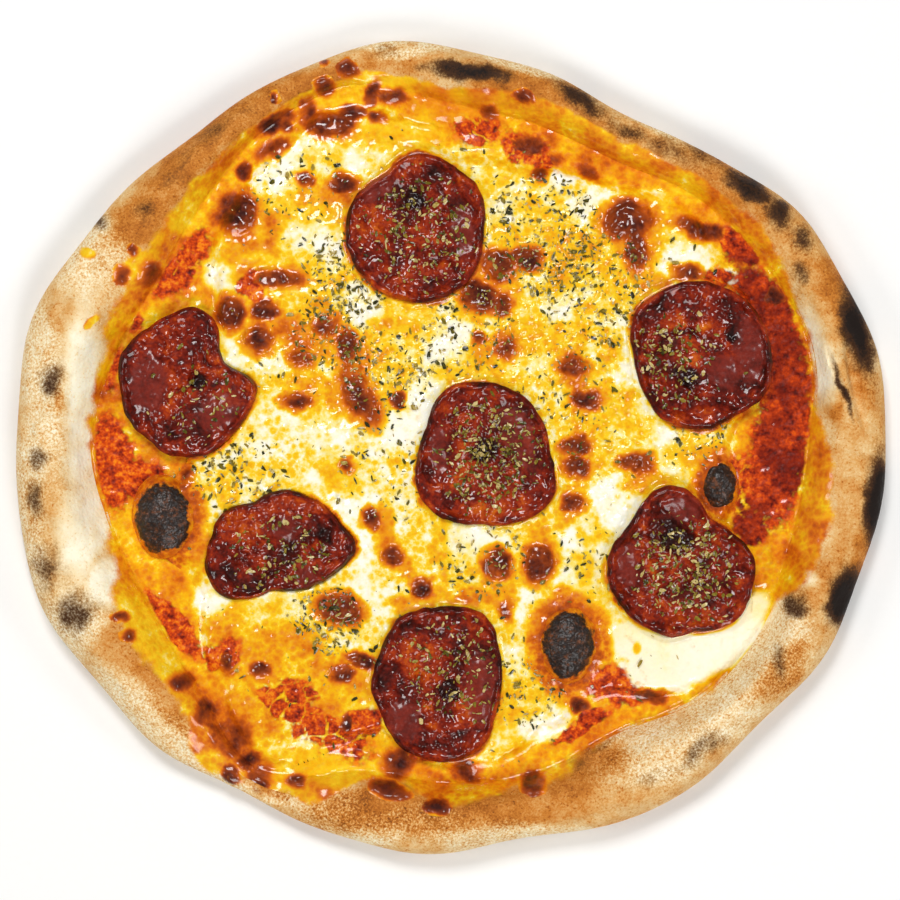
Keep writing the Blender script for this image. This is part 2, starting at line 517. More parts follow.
def topping_masks(x, y):
    beyond = smooth((past(x, y, melt_radius) + 4 + 4 * noise(x, y, 8, 201)) / 7)
    fringe = smooth((past(x, y, foot_radius) + 0.2) / 2.4)
    pool = pool_share(x, y)
    white = soft_patches(x, y, WHITE, seed=93)
    heat = HEAT["plain"] + 0.10 * rough(x, y, 13, 203)
    heat = blend(heat, HEAT["white"], 0.9 * white)
    heat = blend(heat, HEAT["yellow"], 0.9 * soft_patches(x, y, YELLOW))
    heat = blend(heat, HEAT["orange"], 0.85 * soft_patches(x, y, ORANGE, seed=97))
    heat = blend(heat, HEAT["edge"] + 0.12 * rough(x, y, 9, 205), beyond)
    heat = blend(heat, HEAT["foot"], 0.8 * fringe)
    fat = soft_patches(x, y, FAT + STAINS, seed=99)
    tanned = soft_patches(x, y, TANNED, seed=98)
    amber = soft_patches(x, y, AMBER, seed=100)
    for stage, share, uneven, seed in [("fat", fat, 0.05, 207), ("tanned", tanned, 0.2, 217),
                                       ("amber", amber, 0.08, 229)]:
        heat = blend(heat, HEAT[stage] + uneven * rough(x, y, 6, seed), share)
    heat = heat + 0.19 * rough(x, y, 6.5, 209) * (1 - 0.5 * fat)
    near = patches(x, y, BROWNED, 2.0, 1.4, 4.5, 41) * (0.92 + 0.32 * noise(x, y, 11, 211))
    ring = np.interp(near, *zip(*HALO)) - 0.12 * rough(x, y, 4, 215, 2) * smooth(4 * near - 1)
    dot = soft_patches(x, y, POOL_DOT, 1.2, 0.3, 3)
    cream = HEAT["cream"] + 0.08 * noise(x, y, 12, 221) + 0.3 * dot
    heat = np.maximum(blend(heat, cream, pool), ring)
    grainy = blend(0.64 + 0.3 * noise(x, y, 22, 213), 0.3, smooth((heat - 0.34) / 0.2))
    grainy = grainy * (1 - 0.3 * white) * (1 - 0.5 * fat)
    sx, sy = stirred(x, y, 1.5, 6, 223)
    cell, second = cells(sx, sy, STRAND_SPACING, 219)
    strands = smooth((0.24 - second + cell) / 0.22) * soft_patches(x, y, STRANDED, seed=101)
    red = soft_patches(x, y, RED, 1.15, 3, 6, 69) * (1 - pool) * (1 - smooth(5 * near - 2))
    red = red * (1 - fringe)
    dried = soft_patches(x, y, DARK_SAUCE, 1.2, 3, 8, 67) * (0.8 + 0.4 * noise(x, y, 6, 227))
    return {"baked": heat, "grainy": blend(grainy, 0.08, pool), "red": red * (1 - 0.7 * strands),
            "dried": dried}


print("heat at the middle", topping_masks(np.array([20.0]), np.array([50.0]))["baked"].round(2))

# %% [markdown]
# ## From heights to meshes
# Two helpers make every surface. `ring_piece` joins rings of points, from the middle of
# the top, over the edge and back under to the middle. `sheet_piece` fills an outline with
# an even grid, which keeps its faces equal in size across a wide sheet of cheese. Both
# store named numbers on the points, such as how browned a place is, and the materials
# read them as attributes. Faces are shaded smooth, except across the sharp corner where
# the top of a layer meets its edge.

# %% mesh helpers
SHARP_ANGLE = 60
SHEET_REACH = 140


def make_piece(name, points, faces, masks):
    """One smooth mesh object in metres, with a number on each point for each mask."""
    mesh = bpy.data.meshes.new(name)
    mesh.from_pydata((np.asarray(points) * MM).tolist(), [], faces)
    mesh.polygons.foreach_set("use_smooth", np.ones(len(mesh.polygons), dtype=bool))
    for label, values in masks.items():
        layer = mesh.attributes.new(label, "FLOAT", "POINT")
        layer.data.foreach_set("value", np.asarray(values, dtype=np.float32).ravel())
    mesh.set_sharp_from_angle(angle=math.radians(SHARP_ANGLE))
    mesh.update()
    piece = bpy.data.objects.new(name, mesh)
    bpy.context.scene.collection.objects.link(piece)
    print(name, len(mesh.vertices), "points", len(faces), "faces")
    return piece


def ring_piece(name, rings, masks):
    """A closed piece from an array of rings: rings, points round a ring, 3."""
    count, sides = rings.shape[:2]
    points = np.concatenate([rings.reshape(-1, 3), rings[:1].mean(1), rings[-1:].mean(1)])
    here = np.arange(sides)
    after = (here + 1) % sides
    start = (np.arange(count - 1) * sides)[:, None]
    quads = np.stack([start + here, start + sides + here, start + sides + after, start + after], -1)
    first, last = count * sides, count * sides + 1
    top = np.stack([np.full(sides, first), here, after], -1)
    back = (count - 1) * sides
    under = np.stack([np.full(sides, last), back + after, back + here], -1)
    faces = quads.reshape(-1, 4).tolist() + top.tolist() + under.tolist()
    full = {label: np.concatenate([m.ravel(), [m[0].mean(), m[-1].mean()]])
            for label, m in masks.items()}
    return make_piece(name, points, faces, full)


def sheet_piece(name, step, limit, top, base, mask):
    """A closed sheet inside the radius limit(turn), between top(x, y) and the level base."""
    reach = np.arange(-SHEET_REACH, SHEET_REACH, step)
    x, y = np.meshgrid(reach, reach)
    inside = np.hypot(x, y) < limit(turn_of(x, y))
    kept = inside[:-1, :-1] & inside[1:, :-1] & inside[:-1, 1:] & inside[1:, 1:]
    number = np.arange(x.size).reshape(x.shape)
    quads = np.stack([number[:-1, :-1][kept], number[:-1, 1:][kept],
                      number[1:, 1:][kept], number[1:, :-1][kept]], -1)
    used, quads = np.unique(quads, return_inverse=True)
    quads = quads.reshape(-1, 4)
    x, y = x.ravel()[used], y.ravel()[used]
    sides = np.concatenate([quads[:, [k, (k + 1) % 4]] for k in range(4)])
    key = sides.min(1) * len(used) + sides.max(1)
    _, where, counts = np.unique(key, return_index=True, return_counts=True)
    border = sides[where[counts == 1]]
    edge = np.unique(border)
    scale = limit(turn_of(x[edge], y[edge])) / np.hypot(x[edge], y[edge])
    x[edge], y[edge] = x[edge] * scale, y[edge] * scale
    low = np.full(len(used), -1)
    low[edge] = len(used) + np.arange(len(edge))
    points = np.concatenate([
        np.stack([x, y, top(x, y)], -1),
        np.stack([x[edge], y[edge], np.full(len(edge), base)], -1),
        [[0, 0, base]],
    ])
    walls = np.stack([border[:, 1], border[:, 0], low[border[:, 0]], low[border[:, 1]]], -1)
    middle = np.full(len(border), len(points) - 1)
    under = np.stack([middle, low[border[:, 1]], low[border[:, 0]]], -1)
    faces = quads.tolist() + walls.tolist() + under.tolist()
    masks = {label: np.concatenate([m, m[edge], [0]]) for label, m in mask(x, y).items()}
    return make_piece(name, points, faces, masks)


# %% [markdown]
# ## The crust
# The rim is dough that rose freely in the oven's heat, so it is puffed and uneven, with
# soft dips and one torn blister on the right. It is worked out as a height over the
# radius: rising from its foot, round over the outside, and drawn in below. Finer lumps
# and the small wrinkles of a dry skin are noise on top. The underside is nearly flat.
# GREASE says how far up the flank, as a share of the rim's width, the toppings ran. There
# fat and cheese also fill the corner at the rim's foot.

# %% relief of the rim
FLANK_ROWS = 78
UNDER_ROWS = 24
RIM_SIDES = 880
INNER_SHARE = -0.45  # the fine rings start inside the foot, under the toppings
UNDERSIDE = 1.5  # the share that marks the rings of the underside
FILM = 2.7  # depth of fat and cheese in the corner at the rim's foot
FAT_LEVEL = CHEESE_TOP - 1.3
BLISTER_RISE = 0.36
WIDEST_BLISTER = 4.5
GREASE = [0.36, 0.16, 0.4, 0.5, 0.56, 0.58, 0.42, 0.42, 0.4, 0.38, 0.4, 0.2,
          0.2, 0.2, 0.5, 0.5, 1.3, 0.3, 0.36, 0.28, 0.16, 0.14, 0.16, 0.5]
CRACK = (132, 23, 13, 1.3, -73)
CRACK_DEPTH = 1.3


def puffs(x, y):
    lift = 0.7 * waves(x, y, 34)
    for *patch, height in PUFFS:
        lift = lift + height * smooth(1.4 * within(x, y, patch))
    return lift


def blister_lift(x, y):
    """How far the browned blisters stand up, in mm."""
    lift = np.zeros(np.shape(x))
    lumps = 0.42 * noise(x, y, 2.1, 47)
    x, y = stirred(x, y, 1.1, 5, 41)
    for patch in BROWNED:
        near, share = close_to(x, y, patch, 1.15)
        height = BLISTER_RISE * min(*ellipse(*patch)[2:4], WIDEST_BLISTER)
        lift[near] = np.maximum(lift[near], height * np.sqrt(1 - (1 - smooth(2 * share)) ** 2))
    return lift + lumps * smooth(3 * lift)


def rim_share_at(x, y):
    """How far across the rim a point lies: 0 at its foot and 1 at its outside."""
    foot = foot_radius(turn_of(x, y))
    return past(x, y, foot_radius) / (outside_radius(turn_of(x, y)) - foot)


def fat_film(x, y):
    """How thick fat and cheese lie in the corner at the rim's foot."""
    share = rim_share_at(x, y)
    greasy = np.clip(2.2 * around(GREASE, turn_of(x, y)), 0, 1) + 0.3 * noise(x, y, 8, 27)
    fat = FILM * smooth(greasy) * smooth(2.4 * share + 1) * smooth(1.3 - 2.6 * share)
    return fat * (1 + 0.3 * rough(x, y, 7, 29)) + 0.15 * noise(x, y, 2.6, 30) * smooth(2 * fat)


def over_film(x, y, z):
    """Lifts a layer so that it climbs the film at the foot without a crease."""
    level = FLOOR + fat_film(x, y) + 0.1 + 0.15 * rough(x, y, 5, 225)
    return 0.5 * (z + level + np.sqrt((z - level) ** 2 + 1.8))


def with_pools(x, y, z, sunk=0.0):
    """Lays smooth fat and the pool of cheese on a layer whose own height is z."""
    fat = FAT_LEVEL + 0.3 * waves(x, y, 26)
    z = blend(z, fat, soft_patches(x, y, FAT, 1.0, 1.5, 8, 99))
    return over_film(x, y, blend(z, pool_top(x, y) - sunk, pool_share(x, y)))


def skin_lumps(x, y):
    return 0.55 * rough(x, y, 13, 21) + 0.2 * rough(x, y, 3.2, 25)


def crust_top(x, y):
    """The height of the crust, with the film of fat that lies on it."""
    share = rim_share_at(x, y)
    fade = smooth(4 * share) * smooth(4 - 4 * share)
    z = rim_height(turn_of(x, y), share) + puffs(x, y) * fade
    z = z + skin_lumps(x, y) * smooth(6 * share) + blister_lift(x, y) * smooth(8 * share)
    z = z - CRACK_DEPTH * smooth(2 * within(*stirred(x, y, 0.8, 6, 73), CRACK))
    return np.where(share < 0, FLOOR, z) + fat_film(x, y) * smooth((share + 0.02) / 0.1)


def rim_rings():
    turn = np.arange(RIM_SIDES) / RIM_SIDES
    outer, foot = outside_radius(turn), foot_radius(turn)
    share = np.linspace(INNER_SHARE, 1, FLANK_ROWS)[:, None]
    x, y = polar(foot + share * (outer - foot), turn)
    top = np.stack([x, y, crust_top(x, y)], -1)
    drop = np.linspace(0, 1, UNDER_ROWS // 2)[1:, None]
    curve = np.pi / 2 * drop
    edge = outer - TUCK * (1 - np.cos(curve))
    height = WAIST * (1 - np.sin(curve)) + skin_lumps(x[-1], y[-1]) * (1 - drop)
    tuck = np.stack([*polar(edge, turn), height], -1)
    inward = np.linspace(1, 0.02, UNDER_ROWS)[1:, None]
    x, y = polar(inward * (outer - TUCK), turn)
    dents = 0.5 * smooth(1.6 * rough(x, y, 13, 71)) * smooth(20 * (1 - inward))
    under = np.stack([x, y, dents], -1)
    rings = np.concatenate([top, tuck, under])
    return rings, np.concatenate([share * np.ones(RIM_SIDES), np.ones((len(tuck), RIM_SIDES)),
                                  np.full((len(under), RIM_SIDES), UNDERSIDE)])


rings, rim_share = rim_rings()
print("rim rings", rings.shape, "highest", rings[..., 2].max().round(1), "mm")

# %% [markdown]
# ## Where the crust browned
# The side of the rim that faced the fire is black in spots. Flour from the bench stays
# pale on the outside, and the thin skin between goes from straw to orange-brown. `toast`
# is for the dough what `baked` is for the cheese: 0 is floury cream and 0.7 dark brown.
# `char` adds soot on top, whose edges fade in grains, and `dusty` says how much loose
# flour lies there. `grease` is 1 where fat and sauce ran over the dough, and none did at
# DRY. The last number of each row of CHARRED and TOASTED is how far that spot got.

# %% masks of the crust
CHARRED = [
    (-136, 23, 4, 5.5, 0, 0.55), (-140.5, -3, 3, 5, 0, 0.5), (-142, -18, 3, 6, 0, 0.5),
    (-138, -41, 5, 7.5, 0, 0.5), (-128, -57, 6.5, 6.5, 0, 0.6), (-81, 108, 9, 2.6, 38, 0.42),
    (-96, 91, 4, 3.4, 45, 0.34), (-104, 81, 4, 3.2, 45, 0.42), (-92, 97, 6, 2.4, 42, 0.34),
    (-71, 114, 6, 2.2, 35, 0.3), (-23, 135, 6, 2, 8, 0.35), (-9, 131, 5, 2, 0, 0.4),
    (7, 129, 13, 2.6, -8, 0.85), (44, 119, 9, 3.4, -33, 0.7), (60, 109, 7, 3.4, -30, 0.5),
    (74, 102, 9, 4, -28, 0.45), (87, 100, 8, 4, -30, 0.45), (102, 89, 8, 3.4, -33, 0.8),
    (112, 80, 6, 4, -40, 0.7), (120, 71, 4, 5, 30, 0.6), (140, 40, 4.5, 13, 12, 1),
    (147, -19, 4, 14, -3, 1), (135, -52, 5, 8.5, -20, 1), (118, -54, 4.4, 4, 0, 0.6),
    (112, -74, 3.4, 5.5, 0, 0.5), (86, -103, 10, 3.4, 35, 0.45), (68, -113, 10, 3, 22, 0.3),
    (52, -101, 9, 3, 28, 0.45), (38, -111, 12, 3, 12, 0.4), (-120, 77, 3, 4, 40, 0.5),
    (-5, -124, 7, 2.4, 0, 0.35), (120, 58.5, 3.4, 3.6, 0, 0.5), (134, 19, 9, 0.8, -72, 0.7),
]
TOASTED = [
    (-85, 99, 46, 10, 44, 0.56), (-76, 99, 34, 4, 44, 0.47), (-108, 76, 10, 8, 50, 0.54),
    (-45, 124, 16, 6, 25, 0.58), (0, -124, 54, 9, 4, 0.55), (40, -112, 26, 9, 18, 0.52),
    (124, -48, 10, 12, 50, 0.46), (112, -78, 14, 6, 50, 0.5), (137, 2, 8, 18, 0, 0.35),
    (96, 90, 20, 7, -35, 0.5), (66, 104, 26, 6, -28, 0.46), (24, 122, 20, 7, -10, 0.56),
    (-102, -76, 13, 6, -45, 0.52), (-122, -48, 10, 9, -60, 0.42), (-88, -98, 22, 5, -40, 0.5),
    (143, -40, 6, 16, 0, 0.56), (-62, -112, 12, 8, 0, 0.56), (-20, -119, 26, 6, 10, 0.56),
    (84, 86, 16, 6, -35, 0.52), (132, 52, 6, 14, 20, 0.56), (-130, 22, 6, 10, 0, 0.44),
    (128, 31, 7, 2.4, -75, 0.54), (129.5, 17, 9, 4, -75, 0.54), (-141, -22, 5, 13, 0, 0.36),
]
DRY = [(-50, -128, 17, 8, -18)]
FLOURED = [
    (-142, 30, 9, 44, 10), (-125, 68, 14, 20, 50), (-144, -20, 8, 40), (-30, 140, 30, 3.5, 8),
    (30, 133, 30, 4, -14), (66, 116, 26, 4, -30), (108, -70, 20, 14, 45), (92, -90, 20, 12, 40),
    (-25, -131, 34, 6, 8), (20, -134, 40, 6), (-104, -92, 28, 9, -45), (-132, -64, 12, 22, -30),
    (-84, -108, 22, 6, -38), (72, -104, 22, 12, 25), (-40, -124, 14, 9, 20), (60, -94, 22, 8, 22),
    (-54, -121, 12, 6, 10), (-10, 136, 16, 3, 5),
]
PALE = [
    (-125, 12, 8, 42, 2), (-124, -26, 10, 26, -12), (-116, -46, 8, 12, -40),
    (124.5, 31, 18, 6.5, -78), (118, -40, 6, 10, 25), (-106, 50, 3, 10, 20), (-80, 84, 24, 2.6, 45),
    (104, -60, 4, 12, -50),
]


PLAIN_TOAST = 0.34
FLOURED_TOAST = 0.18
PALE_TOAST = 0.03
BASE_TOAST = 0.40


def crust_masks(points, share):
    x, y = points[..., 0], points[..., 1]
    under = share == UNDERSIDE
    reach = around(GREASE, turn_of(x, y)) + 0.10 * rough(x, y, 9, 31)
    crest = np.exp(-((share - 0.6) / 0.25) ** 2)
    toast = PLAIN_TOAST + 0.08 * rough(x, y, 17, 33) + 0.08 * crest
    floured = soft_patches(x, y, FLOURED, 1.25, 4, 14, 37)
    toast = blend(toast, FLOURED_TOAST, 0.85 * floured)
    sx, sy = stirred(x, y, 3, 12, 35)
    for *patch, target in TOASTED:
        toast = blend(toast, target, 0.9 * smooth(1.8 * within(sx, sy, patch, 1.25)))
    pale = soft_patches(x, y, PALE, 1.2, 2, 10, 39)
    toast = blend(toast, PALE_TOAST, pale) + 0.06 * rough(x, y, 4.5, 43)
    char = np.zeros(np.shape(x))
    sx, sy = stirred(x, y, 2.4, 7, 47)
    for *patch, strength in CHARRED:
        char = np.maximum(char, strength * smooth(1.05 * within(sx, sy, patch, 2.15)))
    sx, sy = stirred(x, y, 4, 9, 51)
    spots = smooth(1.6 * rough(sx, sy, 13, 71) - 0.1)
    base = BASE_TOAST + 0.14 * rough(x, y, 24, 49) + 0.3 * spots
    masks = topping_masks(x, y)
    masks["toast"] = np.where(under, base, toast)
    masks["char"] = np.where(under, 0, char)
    masks["dusty"] = (0.3 + 0.7 * floured) * (1 - 0.75 * pale)
    stained = soft_patches(x, y, STAINS, 1.1, 1.5, 6, 99)
    blistered = smooth(5 * patches(x, y, BROWNED, 1.5, 1.1, 5, 41))
    grease = np.maximum(smooth((reach - share) / 0.2), np.maximum(stained, blistered))
    above_waist = np.where(share < 0.5, 1, smooth((points[..., 2] - WAIST - 1) / 3))
    grease = grease * above_waist * (1 - soft_patches(x, y, DRY, 1.2, 3, 7, 53))
    masks["grease"] = np.where(under, 0, grease)
    return masks


crust = ring_piece("Baked_Crust", rings, crust_masks(rings, rim_share))

# %% [markdown]
# ## Charred dough bubbles
# In three places the dough ballooned through the toppings and burnt on top. They belong
# to the crust, so they replace the same solid. Each is a dome whose outline and height
# are stirred with noise, and whose top is rough like crumbled charcoal.

# %% three domes
DOME_ROWS = 40
DOME_SIDES = 170


def bubble_piece(index, cx, cy, long, wide, top):
    turn = np.arange(DOME_SIDES) / DOME_SIDES
    angle = np.linspace(0.03, 1, DOME_ROWS)[:, None] * np.pi / 2
    ragged = rough(*polar(7, turn), 5, 50 + index)
    out = np.sin(angle) ** 0.9 * (1.1 + 0.09 * ragged * np.sin(angle))
    across, along = polar(out, turn)
    x, y = cx + long * across, cy + wide * along
    z = FLOOR + (top - FLOOR) * np.cos(angle)
    z = z + 0.5 * rough(x, y, 5, 51 + index) * np.cos(angle) ** 0.5
    z = z + 0.14 * noise(x, y, 1.1, 55 + index) * smooth(2 * np.cos(angle))
    share = np.hypot((x - cx) / long, (y - cy) / wide)
    burnt = smooth((1.02 - share + 0.12 * rough(x, y, 3.5, 57 + index)) / 0.3)
    masks = {"baked": 0.60 + 0.08 * rough(x, y, 3, 59), "grainy": 0.4 + 0 * x, "burnt": burnt}
    return ring_piece(f"Charred_Bubble_{index + 1}", np.stack([x, y, z], -1), masks)


bubbles = [bubble_piece(i, *row) for i, row in enumerate(BUBBLES)]

# %% [markdown]
# ## Tomato sauce
# The sauce is a wet layer of crushed tomato. It shows where the cheese stopped short, as
# a lumpy, glossy red band. It goes under the cheese on all sides, so only its outer part
# needs fine rings. It ends a little way inside the flank, where the dough comes through.

# %% the layer of sauce
SAUCE_SIDES = 900
INNER_RINGS = [0.05, 0.3, 0.5]
CLIMB = 2.4  # how far past the rim's foot the sauce comes to an end
MEETING = 0.03  # lift that keeps one surface just above the next


def sauce_top(x, y):
    """The sauce's surface, which runs onto the crust without a step."""
    bare = smooth((past(x, y, melt_radius) - 1) / 6)
    level = SAUCE_TOP - 0.3 * bare * (1 + waves(x, y, 17))
    lumps = 0.5 * rough(x, y, 5, 61) + 0.35 * noise(x, y, 1.9, 65)
    z = with_pools(x, y, level + lumps * bare, 0.15)
    return blend(z, crust_top(x, y) + MEETING, smooth(past(x, y, foot_radius) / CLIMB))


def sauce_rings():
    turn = np.arange(SAUCE_SIDES) / SAUCE_SIDES
    share = np.concatenate([INNER_RINGS, np.linspace(0.62, 1, 56)])[:, None]
    radius = share * (foot_radius(turn) + CLIMB)
    x, y = polar(radius, turn)
    under_cheese = smooth((melt_radius(turn) - radius) / 2)
    top = np.stack([x, y, sauce_top(x, y) - 0.3 * under_cheese], -1)
    under = top[[-1, 1, 0]].copy()
    under[..., 2] = SAUCE_TOP - SAUCE
    return np.concatenate([top, under])


rings = sauce_rings()
sauce = ring_piece("Tomato_Sauce", rings, topping_masks(rings[..., 0], rings[..., 1]))

# %% [markdown]
# ## Melted mozzarella
# Mozzarella melts into lumps that run together, leaving small pits where fat and whey
# collect. The sheet is worked out on an even grid: a long swell, lumps of two sizes, pits
# from `cells`, the browned blisters, a smooth pool of late-added cheese at the lower
# right, and beds pressed in under the slices of salami.

# %% the sheet of cheese
CHEESE_STEP = 0.66
PIT_CELLS = 3.4
BUBBLE_HALO = [(0, 0), (0.2, 0.5), (0.45, 0.72)]
SLICE_EDGE_HEAT = 0.68
NETTED = [(48, 45, 42, 46), (60, 5, 30), (-30, 30, 40, 20), (-20, 60, 20)]


def under_slice(piece, share):
    """The height of the underside of a slice."""
    return SLICE_BASE + 0.8 * piece["cup"] * share ** 3


def cheese_relief(x, y):
    sx, sy = x + 0.8 * noise(x, y, 3, 86), y + 0.8 * noise(x, y, 3, 87)
    near = cells(sx, sy, PIT_CELLS, 81)[0]
    net = soft_patches(x, y, NETTED, 1.2, 4, 12, 83)
    pits = smooth((0.5 - near) / 0.34)
    lumps = 0.55 * rough(x, y, 9, 85) + 0.34 * rough(x, y, 3.2, 89)
    return lumps - (0.5 * net + 0.2) * pits


def cheese_top(x, y):
    slope = CHEESE_SLOPE * (1 + 0.5 * rough(x, y, 9, 231))
    inside = smooth(-past(x, y, melt_radius) / slope)
    form = CHEESE_TOP + swell(x, y)
    full = with_pools(x, y, form + cheese_relief(x, y) + blister_lift(x, y))
    z = blend(sauce_top(x, y), full, inside) + MEETING
    for bubble in BUBBLES:
        z = z + 1.1 * smooth(2.2 * within(x, y, bubble[:4], 1.5))
    for piece in SLICES:
        share = slice_share(piece, x, y)
        under = under_slice(piece, np.minimum(share, 1)) - 0.1
        z = blend(z, np.maximum(z, under), smooth((1.09 - share) / 0.08))
        z = np.where(share < 1.0, np.minimum(z, under), z)
    return z


def cheese_masks(x, y):
    masks = topping_masks(x, y)
    beside = np.full(np.shape(x), FAR)
    for piece in SLICES:
        beside = np.minimum(beside, slice_share(piece, x, y) + 0.04 * rough(x, y, 5, 101))
    oily = smooth((1.10 - beside) / 0.1) * smooth(0.6 + 0.8 * noise(x, y, 17, 105))
    around_bubbles = patches(x, y, [bubble[:4] for bubble in BUBBLES], 1.75, 1.5, 5, 103)
    halo = np.maximum(SLICE_EDGE_HEAT * oily, np.interp(around_bubbles, *zip(*BUBBLE_HALO)))
    masks["baked"] = np.maximum(masks["baked"], halo)
    return masks


cheese = sheet_piece("Melted_Mozzarella", CHEESE_STEP, melt_radius, cheese_top,
                     SAUCE_TOP - 0.6, cheese_masks)

# %% [markdown]
# ## Slices of salami
# In the oven each slice cups, its fat melts and its skin wrinkles. The wrinkles are what
# makes it sparkle, so they are real relief: rounded lumps with sharp creases between,
# which is what the size of a noise around zero gives. Where the slice stayed smooth and
# matt they are held back. A thin raised lip runs round the edge.

# %% one function for all slices
SLICE_SIDES = 230
TOP_ROWS = 70
BACK_ROWS = 8
LIP = 0.5  # height of the raised lip, in mm
CURED_STAGES = {"plain": 0.42, "matt": 0.40, "oily": 0.70, "pit": 0.10, "rind": 0.44}


def slice_seed(index):
    return 300 + 20 * index


def creases(x, y, seed):
    """0 in the creases between lumps, rising to about 1 on the lumps."""
    x, y = x + 1.2 * noise(x, y, 6, seed + 8), y + 1.2 * noise(x, y, 6, seed + 9)
    return np.abs(noise(x, y, 5.5, seed)) + 0.5 * np.abs(noise(x, y, 2.6, seed + 1))


def slice_relief(piece, x, y, share, seed):
    matt = soft_patches(*from_middle(piece, x, y), piece["matt"], 1.2, 1.5, 4, seed)
    wrinkles = 1.3 * creases(x, y, seed) - 0.6 + 0.3 * noise(x, y, 1.4, seed + 5)
    folds = 0.9 * rough(x, y, 10, seed + 15, 2)
    lip = LIP * np.exp(-((share - 0.93) / 0.045) ** 2) * (1 + noise(x, y, 6, seed + 7))
    rounded = 0.9 * smooth((share - 0.94) / 0.06)
    return (wrinkles * (1 - 0.6 * matt) + folds) * smooth(8 - 8 * share) + lip - rounded, matt


def slice_top(piece, x, y, share, seed):
    return slice_form(piece, x, y, share) + slice_relief(piece, x, y, share, seed)[0]


def slice_piece(index, piece):
    seed = slice_seed(index)
    turn = np.arange(SLICE_SIDES) / SLICE_SIDES
    radius = around(piece["radii"], turn)
    radius = radius + 0.4 * noise(*polar(radius, turn), 3, seed)

    def place(share):
        across, along = polar(share * radius, turn)
        return piece["middle"][0] + across, piece["middle"][1] + along

    share = (np.linspace(0.001, 0.99, TOP_ROWS)[:, None] ** 0.8) * np.ones(SLICE_SIDES)
    z = slice_top(piece, *place(share), share, seed)
    top = np.stack([*place(share), z], -1)
    side = np.stack([*place(1), z[-1] - 0.5 * SLICE], -1)[None]
    back = np.linspace(0.97, 0.05, BACK_ROWS)[:, None] * np.ones(SLICE_SIDES)
    low = np.stack([*place(back), under_slice(piece, back)], -1)
    low[0, :, 2] = np.minimum(low[0, :, 2], z[-1] - SLICE)
    rings = np.concatenate([top, side, low])
    share = np.concatenate([share, np.ones((1, SLICE_SIDES)), back])
    x, y = rings[..., 0], rings[..., 1]
    dx, dy = from_middle(piece, x, y)
    matt = slice_relief(piece, x, y, share, seed)[1]
    oily = soft_patches(dx, dy, piece["oily"], 1.3, 1.5, 4, seed + 1)
    pits = [fold[:3] for fold in piece["folds"] if fold[3] < 0]
    pitted = soft_patches(dx, dy, pits, 1.0, 1, 3, seed + 2)
    uneven = 0.22 * rough(x, y, 10, seed + 15, 2) + 0.22 * (creases(x, y, seed) - 0.4)
    cured = CURED_STAGES["plain"] + uneven
    for stage, part in [("matt", 0.6 * matt), ("oily", 0.7 * oily), ("pit", pitted)]:
        cured = blend(cured, CURED_STAGES[stage], part)
    rind = CURED_STAGES["rind"] + 0.36 * noise(x, y, 9, seed + 13)
    cured = blend(cured, rind, 0.8 * smooth((share - 0.9) / 0.06))
    return ring_piece(f"Salami_Slice_{index + 1}", rings, {"cured": cured, "matt": matt})


slices = [slice_piece(i, piece) for i, piece in enumerate(SLICES)]

# %% [markdown]
# ## Dried herbs
# Crumbled oregano is flat bits of leaf 0.5 to 3.5 mm long. Each is a closed, curled and
# folded blade of twelve faces, and all of them are one mesh, because thousands of objects
# would be slow. The largest lie where the solids have them, by the same rule and the same
# series. A row of `flakes` is the slice that carries it, or -1 for the cheese, then its
# place, length, tilt and heading.

# %% places for the flakes
FLAKE = 3.6
CHEESE_FLAKES = 28
SLICE_FLAKES = 5
SIDE_GAP = 0.5
MELT_ROOM = 1.5


def solid_melt_radius(turn):
    uneven = math.sin(13 * TURN * turn + 2) + math.sin(19 * TURN * turn + 5)
    return min(float(around(MELT, turn)) + 1.1 * uneven, float(foot_radius(turn)) - MELT_ROOM)


def clear_of_others(x, y, room):
    for piece in SLICES:
        dx, dy = from_middle(piece, x, y)
        if math.hypot(dx, dy) <= around(piece["radii"], math.atan2(dy, dx) / TURN) + room:
            return False
    return all(math.hypot(x - cx, y - cy) > max(long, wide) + room
               for cx, cy, long, wide, _ in BUBBLES)


def stepped(x, y, radius, turn):
    """The point at this distance from x, y in the direction of a share of a turn."""
    return x + radius * math.cos(TURN * turn), y + radius * math.sin(TURN * turn)


def draw_place(draw, table):
    share = next(draw) * sum(row[3] for row in table)
    for patch in table:
        share -= patch[3]
        if share < 0:
            break
    turn, radius = next(draw), patch[2] * math.sqrt(next(draw))
    return stepped(patch[0], patch[1], radius, turn)


def large_places():
    draw, places = series(23), []
    room = FLAKE / 2 + SIDE_GAP + GAP
    while len(places) < CHEESE_FLAKES:
        x, y = draw_place(draw, HERB_PATCHES)
        inside = math.hypot(x, y) < solid_melt_radius(math.atan2(y, x) / TURN) - CHEESE_SLOPE
        spaced = all(math.hypot(x - px, y - py) > 2 * FLAKE for px, py in places)
        if inside and spaced and clear_of_others(x, y, room):
            places.append((x, y))
    return places


flakes = []
draw = series(31)
for i, (x, y) in enumerate(large_places()):
    length = FLAKE * (1 - 0.4 * i / CHEESE_FLAKES)
    flakes.append((-1, x, y, length, 0.35 * (next(draw) - 0.5), TURN * next(draw)))
for index, piece in enumerate(SLICES):
    draw = series(41 + index)
    start = next(draw)
    for i in range(SLICE_FLAKES):
        turn = start + (i + 0.5 * next(draw)) / SLICE_FLAKES
        radius = (0.25 + 0.45 * next(draw)) * float(around(piece["radii"], turn))
        x, y = stepped(*piece["middle"], radius, turn)
        flakes.append((index, x, y, FLAKE * (1 - 0.06 * i), 0.35 * (next(draw) - 0.5),
                       TURN * next(draw)))
print(len(flakes), "large flakes")

